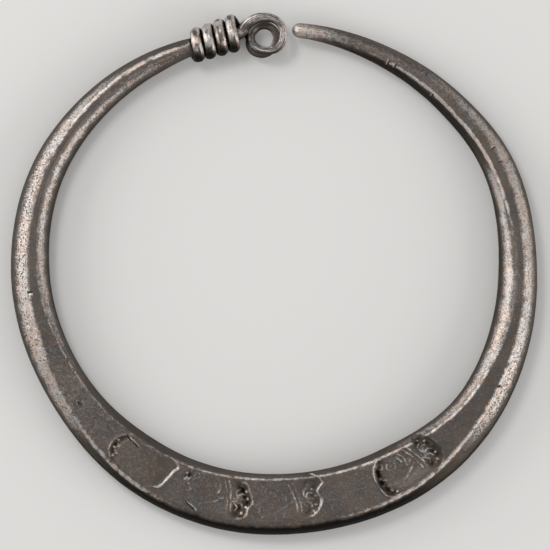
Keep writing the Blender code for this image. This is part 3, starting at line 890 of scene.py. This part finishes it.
def cut_nicks(skin):
    """Short cuts across the bar, each with a bright rim."""
    points = skin.points
    for nick in NICKS:
        lean = math.radians(nick.lean)
        out, round_hoop = polar_offsets(points, nick)
        outward = out * math.cos(lean) + round_hoop * math.sin(lean)
        aside = round_hoop * math.cos(lean) - out * math.sin(lean)
        near = (np.abs(outward) < nick.length) & (np.abs(aside) < nick.length)
        near &= points[..., 2] > BAND_THICKNESS * 0.6
        along = 1.0 - ease(0.35, 0.55, np.abs(outward[near]) / nick.length)
        groove = bell(aside[near], 0.0, NICK_HALF_WIDTH) * along
        rim = bell(aside[near], 1.9 * NICK_HALF_WIDTH, NICK_HALF_WIDTH) * along
        points[near, 2] += 0.2 * NICK_DEPTH * rim - NICK_DEPTH * groove
        skin.wear[near] = np.maximum(skin.wear[near] * (1.0 - groove), rim)
        skin.grime[near] = np.maximum(skin.grime[near] * (1.0 - rim), 0.9 * groove)


# Making the meshes

# Points, their places along and across the bar, and how bare, dirty, pitted and scratched.
# The bareness also holds painted highlights, and the dirt also holds painted shade.
Skin = namedtuple("Skin", "points flow wear grime pits drawn")


def paint_hoop(skin, corners, angles):
    """Marks how bare, dirty and pitted each part of the hoop's section is, with painted highlights on its
    bevels and painted shade on its sides.
    """
    inner_bevel, front, outer_bevel, side = by_ring(BARENESS_AND_HIGHLIGHT, angles)
    dirt_and_shade_in, dirt_and_shade_out, dirt_and_shade_outer_side, dirt_and_shade_inner_side = by_ring(DIRT_AND_SHADE, angles)
    patina_in, patina_out = by_ring(PATINA_REACH, angles)
    u, v = skin.flow[..., 1], skin.flow[..., 2]
    ridge_out, ridge_in = corners[:, 0:1, 0], corners[:, 1:2, 0]
    soft = np.clip(0.35 * (ridge_out - ridge_in), *PATINA_EDGES)
    drift = clouds(skin.points, PATINA_DRIFT)
    on_outer = ease(-soft, soft, u - ridge_out - patina_out + drift)
    on_inner = ease(-soft, soft, ridge_in - u - patina_in + drift)
    raised = v - corners[:, 2:3, 1] + drift
    # Below the bevels' shoulders the sides' values take over: painted shade where the light doesn't reach.
    on_top = ease(-0.45, 0.65, raised)
    under = ease(0.75, 1.0, v / corners[:, 5:6, 1])
    bare_and_highlight = mix(side, mix(mix(front, outer_bevel, on_outer), inner_bevel, on_inner), on_top)
    # Dark from the table: partly dirt and partly painted shade on the sides and the band's outer bevel.
    dirt_and_shade_top = dirt_and_shade_out * on_outer + dirt_and_shade_in * on_inner
    dirt_and_shade_side = mix(dirt_and_shade_inner_side, dirt_and_shade_outer_side, ease(-1.0, 1.0, u))
    dirt_and_shade = mix(dirt_and_shade_side, dirt_and_shade_top, ease(-0.9, 0.30, raised))
    skin.wear[:] = mix(bare_and_highlight, BACK_BARENESS, under)
    skin.grime[:] = mix(dirt_and_shade, BACK_DIRT, under)
    brighten_ridges(skin, corners, angles)
    skin.pits[:] = smooth(RIDGES, 3, angles)[:, None] * on_outer + 0.35 * on_inner


def brighten_ridges(skin, corners, angles):
    """Marks the bright, broken lines along the front facet's outer and inner ridge: partly wear and partly
    painted highlight.
    """
    u, v = skin.flow[..., 1], skin.flow[..., 2]
    inner, outer, _ = by_ring(RIDGES, angles)
    broken = patchy(skin.points, RIDGE_PATCHES)
    for corner, strength, reach in ((1, inner, RIDGE_REACHES[0]), (0, outer, RIDGE_REACHES[1])):
        away = np.hypot(u - corners[:, corner:corner + 1, 0], v - corners[:, corner:corner + 1, 1])
        worn = np.clip(bell(away, 0.0, reach) * broken * strength, 0.0, 1.0)
        skin.wear[:] = np.maximum(skin.wear, worn)
        skin.grime[:] = skin.grime * (1.0 - 0.9 * worn)


def wrap_marks(points, outward, u, v, turns):
    """How bare and dark the winding is: bare outside in patches that are partly wear and partly painted
    highlight, darker on its flanks and inner side, partly dirt and partly painted shade, and painted shade
    where it faces -Y.
    """
    bevel = ease(0.30, 0.50, np.abs(v)) * (1.0 - ease(0.88, 1.0, np.abs(v)))
    bevel = bevel * patchy(points, WIRE_PATCHES)
    # Bright patches on the outer faces: partly wear and partly painted highlight.
    bare_and_highlight = np.where(u > 0.3, np.maximum(patchy(points, WRAP_PATCHES), bevel), 0.0)
    # Dark on the wraps' flanks, where they meet, and towards the neck: partly dirt and partly painted
    # shade.
    dirt_and_shade = np.maximum(0.95 * ease(0.90, 0.99, np.abs(v)), 1.0 - ease(-0.2, 0.55, u))
    open_side = (turns < LAST_SWING + 360.0) * ease(0.15, 0.50, -(outward @ FORWARD))
    dirt_and_shade = dirt_and_shade * (1.0 - 0.65 * open_side)
    # Darker where the wraps face -Y: painted shade.
    return bare_and_highlight, np.maximum(dirt_and_shade, ease(0.15, 0.85, -outward[..., 1]))


def eye_marks(points, outward, u, v, turns):
    """How bare and dark the eye is: the first turn is bare on top and darker below, the second lies under
    it and is painted darker as painted shade, with its inner wall painted bright as painted light.
    """
    # The second turn lies under the first and is painted darker and less bare: painted shade.
    second = ease(330.0, 370.0, turns)
    edge = 0.9 * ease(0.35, 0.65, np.abs(u)) * ease(-0.1, 0.5, v) * patchy(points, WIRE_PATCHES)
    bare_and_highlight = np.maximum(0.45 * ease(-0.3, 0.3, v), edge) * (1.0 - 0.65 * second)
    # The upper part of the inner side is painted bright: painted light.
    bare_and_highlight = np.maximum(bare_and_highlight, 0.8 * (1.0 - ease(-0.9, -0.6, u)) * ease(-0.3, 0.2, v))
    dirt_and_shade = np.maximum(0.85 * (1.0 - ease(-0.8, -0.1, v)) * (1.0 - 0.5 * second), 0.25 * second)
    # The second turn's inner wall is painted bright and clean: painted light where the first turn shades
    # it.
    inner_wall = (1.0 - ease(-0.75, -0.35, u)) * second
    # Parts facing -Y are painted darker: painted shade.
    facing_down = ease(-0.05, 0.75, -outward[..., 1])
    dirt_and_shade = np.maximum(dirt_and_shade * (1.0 - inner_wall), 0.7 * facing_down)
    return np.maximum(bare_and_highlight, 0.85 * inner_wall), dirt_and_shade


def paint_wire(skin, outward, corners, turns, kinds):
    """Marks how bare and dark the wire is, by the kind of each of its rings, with painted highlights and
    painted shade among them.
    """
    u = skin.flow[..., 1] / corners[:, 9:10, 0]
    v = skin.flow[..., 2] / corners[:, 0:1, 1]
    wound = (kinds == "winding")[:, None]
    # The neck and the passage, hidden inside the winding, are painted near black: painted shade.
    hidden = np.isin(kinds, ("neck", "passage"))[:, None]
    wrap_bare_and_highlight, wrap_dirt_and_shade = wrap_marks(skin.points, outward, u, v, turns[:, None])
    eye_bare_and_highlight, eye_dirt_and_shade = eye_marks(skin.points, outward, u, v, turns[:, None])
    bare_and_highlight = np.where(wound, wrap_bare_and_highlight, np.where(hidden, HIDDEN_BARENESS, eye_bare_and_highlight))
    dirt_and_shade = np.where(wound, wrap_dirt_and_shade, np.where(hidden, HIDDEN_SHADE, eye_dirt_and_shade))
    under = ease(0.30, 0.80, -outward[..., 2])
    skin.wear[:] = mix(bare_and_highlight, BACK_BARENESS, under)
    skin.grime[:] = mix(dirt_and_shade, BACK_DIRT, under)
    skin.drawn[:] = np.where(wound, 0.35, 1.0)


def skin_of(rings, cuts, arc_steps, edge_steps):
    outline = rounded(rings.corners, cuts, arc_steps, edge_steps)
    points = place(rings, outline)
    travel = np.linalg.norm(np.diff(rings.centre, axis=0), axis=1)
    along = np.concatenate([[0.0], np.cumsum(travel)])
    flow = np.zeros_like(points)
    flow[..., 0] = along[:, None]
    flow[..., 1:] = outline
    return Skin(points, flow, *[np.zeros(points.shape[:-1]) for _ in range(4)])


def faces_between(first, second, first_count, second_count):
    """Faces that join two rings, also where one has twice as many points as the other."""
    count = min(first_count, second_count)
    if first_count == second_count:
        return [
            (first + i, first + (i + 1) % count, second + (i + 1) % count, second + i)
            for i in range(count)
        ]
    narrowing = first_count > second_count
    fine, coarse = (first, second) if narrowing else (second, first)
    faces = []
    for i in range(count):
        a, b, c = fine + 2 * i, fine + 2 * i + 1, fine + (2 * i + 2) % (2 * count)
        p, q = coarse + i, coarse + (i + 1) % count
        faces += [(a, b, p), (b, q, p), (b, c, q)]
    return faces if narrowing else [face[::-1] for face in faces]


def new_object(name, data):
    made = bpy.data.objects.new(name, data)
    bpy.context.scene.collection.objects.link(made)
    return made


def mesh_object(name, skin, fine):
    """A closed mesh through the rings. The ones that aren't fine keep every second point."""
    rows = [slice(None) if is_fine else slice(None, None, 2) for is_fine in fine]
    picked = [[grid[k][row] for k, row in enumerate(rows)] for grid in skin]
    counts = [len(points) for points in picked[0]]
    starts = np.concatenate([[0], np.cumsum(counts)]).tolist()
    points, flow, *marks = [np.concatenate(values) for values in picked]
    faces = []
    for k in range(len(counts) - 1):
        faces += faces_between(starts[k], starts[k + 1], counts[k], counts[k + 1])
    ends = [picked[0][0].mean(0), picked[0][-1].mean(0)]
    first_end, last_end = len(points), len(points) + 1
    faces += [(first_end, (i + 1) % counts[0], i) for i in range(counts[0])]
    last = starts[-2]
    faces += [(last_end, last + i, last + (i + 1) % counts[-1]) for i in range(counts[-1])]
    points = np.concatenate([points, ends])
    flow = np.concatenate([flow, flow[:1], flow[-1:]])
    mesh = bpy.data.meshes.new(name)
    mesh.from_pydata((points * MM).tolist(), [], faces)
    mesh.update()
    mesh.shade_smooth()
    for label, values in zip(Skin._fields[2:], marks):
        attribute = mesh.attributes.new(label, "FLOAT", "POINT")
        values = np.concatenate([values, values[:1], values[-1:]])
        attribute.data.foreach_set("value", values.astype(np.float32))
    attribute = mesh.attributes.new("flow", "FLOAT_VECTOR", "POINT")
    attribute.data.foreach_set("vector", flow.astype(np.float32).ravel())
    return new_object(name, mesh)


def bar_cuts(angles):
    """How far each corner of the bar's section is rounded."""
    cuts = np.full((len(angles), len(BAR_EDGE_STEPS)), BAR_CORNER_CUT)
    cuts[:, 1] = smooth(RIDGE_ROUNDING, 1, angles)
    cuts[:, 0] = smooth(RIDGE_ROUNDING, 2, angles)
    return cuts


def make_hoop():
    angles = ring_angles()
    hoop = hoop_rings(angles)
    tip = blunt(hoop, 0, -along_of(ring_at(hoop, 0)), TIP_WIDTH / 2, TIP_RINGS)
    rings = join(ring_at(tip, slice(None, None, -1)), hoop, neck_rings(NECK_SHARES))
    neck_angles = np.full(len(NECK_SHARES), NECK_ANGLE)
    all_angles = np.concatenate([np.full(TIP_RINGS, angles[0]), angles, neck_angles])
    skin = skin_of(rings, bar_cuts(all_angles), ARC_STEPS, BAR_EDGE_STEPS)
    points = skin.points
    paint_hoop(skin, rings.corners, all_angles)
    # The neck's last rings, under the winding, are painted near black: painted shade.
    skin.grime[2 - len(NECK_SHARES):] = NECK_SHADE
    out = normals_of(points)
    chips = np.clip(cloud(points, 0.9, 3) + 0.1, 0.0, 1.0) * skin.wear
    sink = HAMMER_DEPTH * (0.5 + 0.5 * clouds(points, HAMMER_MARKS)) + EDGE_WEAR_DEPTH * chips
    points -= out * sink[..., None]
    stamp_band(skin)
    press_dents(skin)
    cut_nicks(skin)
    fine = np.zeros(len(points), bool)
    fine[TIP_RINGS:TIP_RINGS + len(angles)] = in_any(angles, [BAND_ARC, BRIGHT_RIDGE_ARC, *NICK_ARCS])
    return mesh_object("bracelet_hoop", skin, fine)


def make_wire():
    eye_turns = np.linspace(EYE_TURNS[0].turn, EYE_TURNS[-1].turn, EYE_RINGS)
    swings = np.linspace(FIRST_SWING, LAST_SWING, round((FIRST_SWING - LAST_SWING) / WRAP_STEP))
    neck = neck_rings(WIRE_NECK_SHARES)
    eye = eye_rings(eye_turns)
    winding = wrap_rings(swings)
    end = blunt(winding, -1, along_of(ring_at(winding, -1)), LAST_WRAP_DEPTH / 3, WIRE_END_RINGS)
    parts = [
        ("neck", neck, eye_turns[0]),
        ("eye", bridge(neck, eye, SHOULDER_STEPS), eye_turns[0]),
        ("eye", eye, eye_turns),
        ("passage", bridge(eye, winding, BRIDGE_STEPS), eye_turns[0]),
        ("winding", winding, swings),
        ("winding", end, LAST_SWING),
    ]
    names, part_rings, part_turns = zip(*parts)
    rings = join(*part_rings)
    counts = [len(part.centre) for part in part_rings]
    turns = np.concatenate([np.full(count, value) for count, value in zip(counts, part_turns)])
    cuts = np.full((len(turns), len(WIRE_EDGE_STEPS)), WIRE_CORNER_CUT)
    skin = skin_of(rings, cuts, WIRE_ARC_STEPS, WIRE_EDGE_STEPS)
    points = skin.points
    out = normals_of(points)
    paint_wire(skin, out, rings.corners, turns, np.repeat(names, counts))
    sink = WIRE_HAMMER_DEPTH * (0.5 + 0.6 * clouds(points, WIRE_HAMMER_MARKS))
    points -= out * sink[..., None]
    return mesh_object("bracelet_eye_and_winding", skin, np.ones(len(points), bool))


# Material

# The metal's colours, from its patina to the dirt in its pits. The brown and black dirt colours
# also paint shade, and the silver also paints highlights.
COOL_PATINA = (0.105, 0.098, 0.095, 1.0)
WARM_PATINA = (0.128, 0.101, 0.084, 1.0)
PALE_PATINA = (0.142, 0.118, 0.104, 1.0)
COOL_SILVER = (0.62, 0.575, 0.545, 1.0)
WARM_SILVER = (0.65, 0.54, 0.475, 1.0)
BROWN_DIRT_AND_SHADE = (0.075, 0.060, 0.048, 1.0)
BLACK_DIRT_AND_SHADE = (0.010, 0.009, 0.007, 1.0)
PIT_DIRT = (0.06, 0.050, 0.043, 1.0)
PIT_DARKNESS = 0.68

# The metal's noise: its scale to a millimetre, its detail and its roughness
PATCHES = (0.22, 3.0, 0.5)
TINT = (0.55, 2.0, 0.5)
MOTTLE = (1.6, 5.0, 0.65)
GRAIN = (4.2, 4.0, 0.7)
PIT_SCALE = 2.1
STROKE_SCALE = (0.26, 5.2, 5.2)
SPECKLE_STRENGTH = 1.9
STREAK_STRENGTH = 3.2
BUMP_HEIGHT = 0.09 * MM
BUMP_STRENGTH = 0.8


class Value:
    """A node's output. Sums, products, ramps and blends of it add further nodes."""

    def __init__(self, node, output=0):
        self.tree = node.id_data
        self.socket = node.outputs[output]

    def maths(self, operation, other, clamp=False):
        settings = {"operation": operation, "use_clamp": clamp}
        return Value(add(self.tree, "ShaderNodeMath", settings, {0: self, 1: other}))

    def __add__(self, other):
        return self.maths("ADD", other)

    def __sub__(self, other):
        return self.maths("SUBTRACT", other)

    def __mul__(self, other):
        return self.maths("MULTIPLY", other)

    def ramp(self, low, high):
        """0 below low, 1 above high, and smooth between them."""
        settings = {"interpolation_type": "SMOOTHSTEP"}
        inputs = {"Value": self, "From Min": low, "From Max": high}
        return Value(add(self.tree, "ShaderNodeMapRange", settings, inputs))

    def blend(self, low, high):
        """A colour between low and high."""
        inputs = {0: self, 6: low, 7: high}
        return Value(add(self.tree, "ShaderNodeMix", {"data_type": "RGBA"}, inputs), 2)


def feed(socket, value):
    """Links a value to a socket, or sets the socket's own value."""
    if isinstance(value, Value):
        value.tree.links.new(value.socket, socket)
    else:
        socket.default_value = value


def add(tree, kind, settings, inputs):
    """A shader node, with its plain settings and the values of its sockets."""
    node = tree.nodes.new(kind)
    for name, value in settings.items():
        setattr(node, name, value)
    for name, value in inputs.items():
        feed(node.inputs[name], value)
    return node


def mark(tree, name, output="Fac"):
    """One of the marks that the mesh holds at each point."""
    return Value(add(tree, "ShaderNodeAttribute", {"attribute_name": name}, {}), output)


def noise_at(place, scale, detail, roughness=0.5):
    inputs = {"Vector": place, "Scale": scale, "Detail": detail, "Roughness": roughness}
    return Value(add(place.tree, "ShaderNodeTexNoise", {}, inputs))


def pit_share(place_mm, pitting, mottle, grain):
    """Small ragged pits, in clusters where the mesh is marked for them."""
    cells = Value(add(place_mm.tree, "ShaderNodeTexVoronoi", {}, {"Vector": place_mm, "Scale": PIT_SCALE}))
    return (grain * 0.60 + cells).ramp(0.70, 0.50) * (pitting * 0.30 + mottle).ramp(0.58, 0.80)


def bare_and_highlight_share(wear, drawn, grime, mottle, grain, strokes):
    """How bare the metal is: worn edges and painted highlights, and speckles where the patina has gone."""
    speckle = (grain - 0.5) * SPECKLE_STRENGTH + mottle + (strokes - 0.5) * drawn * STREAK_STRENGTH
    bare_and_highlight = (speckle - 0.53) * (wear * 1.1 + 0.48) + wear
    return bare_and_highlight.ramp(0.05, 1.05).maths("SUBTRACT", grime * 0.8, clamp=True)


def metal_colour(place_mm, bare_and_highlight, grime, pits):
    """Patina, bare silver over it, brown and then black dirt over that, and dark pits. The silver also
    paints highlights, and the brown and black also paint shade.
    """
    tint = noise_at(place_mm, *TINT)
    patina = tint.ramp(0.40, 0.60).blend(COOL_PATINA, WARM_PATINA)
    patina = noise_at(place_mm, *PATCHES).ramp(0.35, 0.65).blend(patina, PALE_PATINA)
    silver = tint.ramp(0.42, 0.60).blend(COOL_SILVER, WARM_SILVER)
    colour = bare_and_highlight.blend(patina, silver)
    colour = grime.ramp(0.10, 0.60).blend(colour, BROWN_DIRT_AND_SHADE)
    colour = grime.ramp(0.50, 0.95).blend(colour, BLACK_DIRT_AND_SHADE)
    return (pits * PIT_DARKNESS).blend(colour, PIT_DIRT)


def tarnished_silver():
    """Old silver: dark patina, brown dirt in the hollows, and bright burnished edges. Its dark dirt also
    holds painted shade, and its bright silver painted highlights.
    """
    material = bpy.data.materials.new("tarnished_silver")
    material.use_nodes = True
    tree = material.node_tree
    place = Value(add(tree, "ShaderNodeTexCoord", {}, {}), "Object")
    in_mm = {"Vector": place, "Scale": 1.0 / MM}
    place_mm = Value(add(tree, "ShaderNodeVectorMath", {"operation": "SCALE"}, in_mm), "Vector")
    along_bar = {"Vector": mark(tree, "flow", "Vector"), "Scale": STROKE_SCALE}
    strokes = noise_at(Value(add(tree, "ShaderNodeMapping", {}, along_bar)), 1.0, 2.0)
    mottle = noise_at(place_mm, *MOTTLE)
    grain = noise_at(place_mm, *GRAIN)
    wear, grime, pitting, drawn = [mark(tree, name) for name in Skin._fields[2:]]
    pits = pit_share(place_mm, pitting, mottle, grain)
    bare_and_highlight = bare_and_highlight_share(wear, drawn, grime, mottle, grain, strokes)
    relief = grain * 0.9 + mottle * 1.1 + strokes * 0.5 - pits * 0.8
    height = {"Height": relief, "Strength": BUMP_STRENGTH, "Distance": BUMP_HEIGHT}
    inputs = tree.nodes["Principled BSDF"].inputs
    feed(inputs["Base Color"], metal_colour(place_mm, bare_and_highlight, grime, pits))
    feed(inputs["Roughness"], mottle * 0.30 - bare_and_highlight * 0.08 + grime * 0.25 + 0.27)
    feed(inputs["Metallic"], 1.0)
    feed(inputs["Normal"], Value(add(tree, "ShaderNodeBump", {}, height)))
    return material


# Floor, lights and camera

FLOOR_SIZE = 3.0
FLOOR_COLOUR = (0.80, 0.79, 0.77, 1.0)
FLOOR_ROUGHNESS = 0.7
VIEW_WIDTH = 82.5 * MM
VIEW_MIDDLE = (0.15 * MM, -0.15 * MM)
LENS = 400.0
SENSOR = 36.0
WORLD_STRENGTH = 0.48

# Each softbox has a name, a place, a width, a height and a power, and points at the bracelet
SOFTBOXES = [
    ("left_softbox", (-0.34, 0.13, 0.15), 0.34, 0.22, 0.62),
    ("right_softbox", (0.34, -0.13, 0.15), 0.34, 0.22, 0.62),
    ("top_fill", (-0.25, 0.30, 0.60), 0.20, 0.20, 1.0),
]


def add_floor():
    half = FLOOR_SIZE / 2
    paint = bpy.data.materials.new("floor_paint")
    paint.use_nodes = True
    inputs = paint.node_tree.nodes["Principled BSDF"].inputs
    inputs["Base Color"].default_value = FLOOR_COLOUR
    inputs["Roughness"].default_value = FLOOR_ROUGHNESS
    mesh = bpy.data.meshes.new("floor")
    corners = [(-half, -half, 0.0), (half, -half, 0.0), (half, half, 0.0), (-half, half, 0.0)]
    mesh.from_pydata(corners, [], [(0, 1, 2, 3)])
    mesh.materials.append(paint)
    floor = new_object("floor", mesh)


def add_softbox(name, place, width, height, power):
    data = bpy.data.lights.new(name, "AREA")
    data.shape = "RECTANGLE"
    data.size = width
    data.size_y = height
    data.energy = power
    light = new_object(name, data)
    light.location = place
    light.rotation_euler = (-Vector(place)).to_track_quat("-Z", "Y").to_euler()
    light.visible_camera = False


def add_camera():
    """A camera with a long lens, straight above the bracelet."""
    data = bpy.data.cameras.new("camera")
    data.lens = LENS
    data.sensor_width = SENSOR
    camera = new_object("camera", data)
    camera.location = (*VIEW_MIDDLE, VIEW_WIDTH * LENS / SENSOR)
    bpy.context.scene.camera = camera


def add_world():
    world = bpy.data.worlds.new("studio")
    world.use_nodes = True
    background = world.node_tree.nodes["Background"]
    background.inputs["Color"].default_value = (1.0, 1.0, 1.0, 1.0)
    background.inputs["Strength"].default_value = WORLD_STRENGTH
    bpy.context.scene.world = world


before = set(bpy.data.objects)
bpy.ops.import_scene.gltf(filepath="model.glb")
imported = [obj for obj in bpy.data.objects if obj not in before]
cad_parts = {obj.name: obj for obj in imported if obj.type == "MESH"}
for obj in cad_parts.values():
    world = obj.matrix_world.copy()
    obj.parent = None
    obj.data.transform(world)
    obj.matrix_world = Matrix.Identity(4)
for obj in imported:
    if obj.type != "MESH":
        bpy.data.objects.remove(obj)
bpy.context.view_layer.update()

pieces = [make_hoop(), make_wire()]
spots = np.array([vertex.co for piece in pieces for vertex in piece.data.vertices])
cad_low, cad_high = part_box("bracelet")
shift = (np.array(cad_low) + np.array(cad_high) - spots.min(0) - spots.max(0)) / 2
silver = tarnished_silver()
for piece in pieces:
    piece.data.transform(Matrix.Translation(shift))
    piece.data.materials.append(silver)
    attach(piece, "root")
    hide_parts("bracelet")

add_floor()
for softbox in SOFTBOXES:
    add_softbox(*softbox)
add_camera()
add_world()
bpy.context.scene.view_settings.view_transform = "Standard"
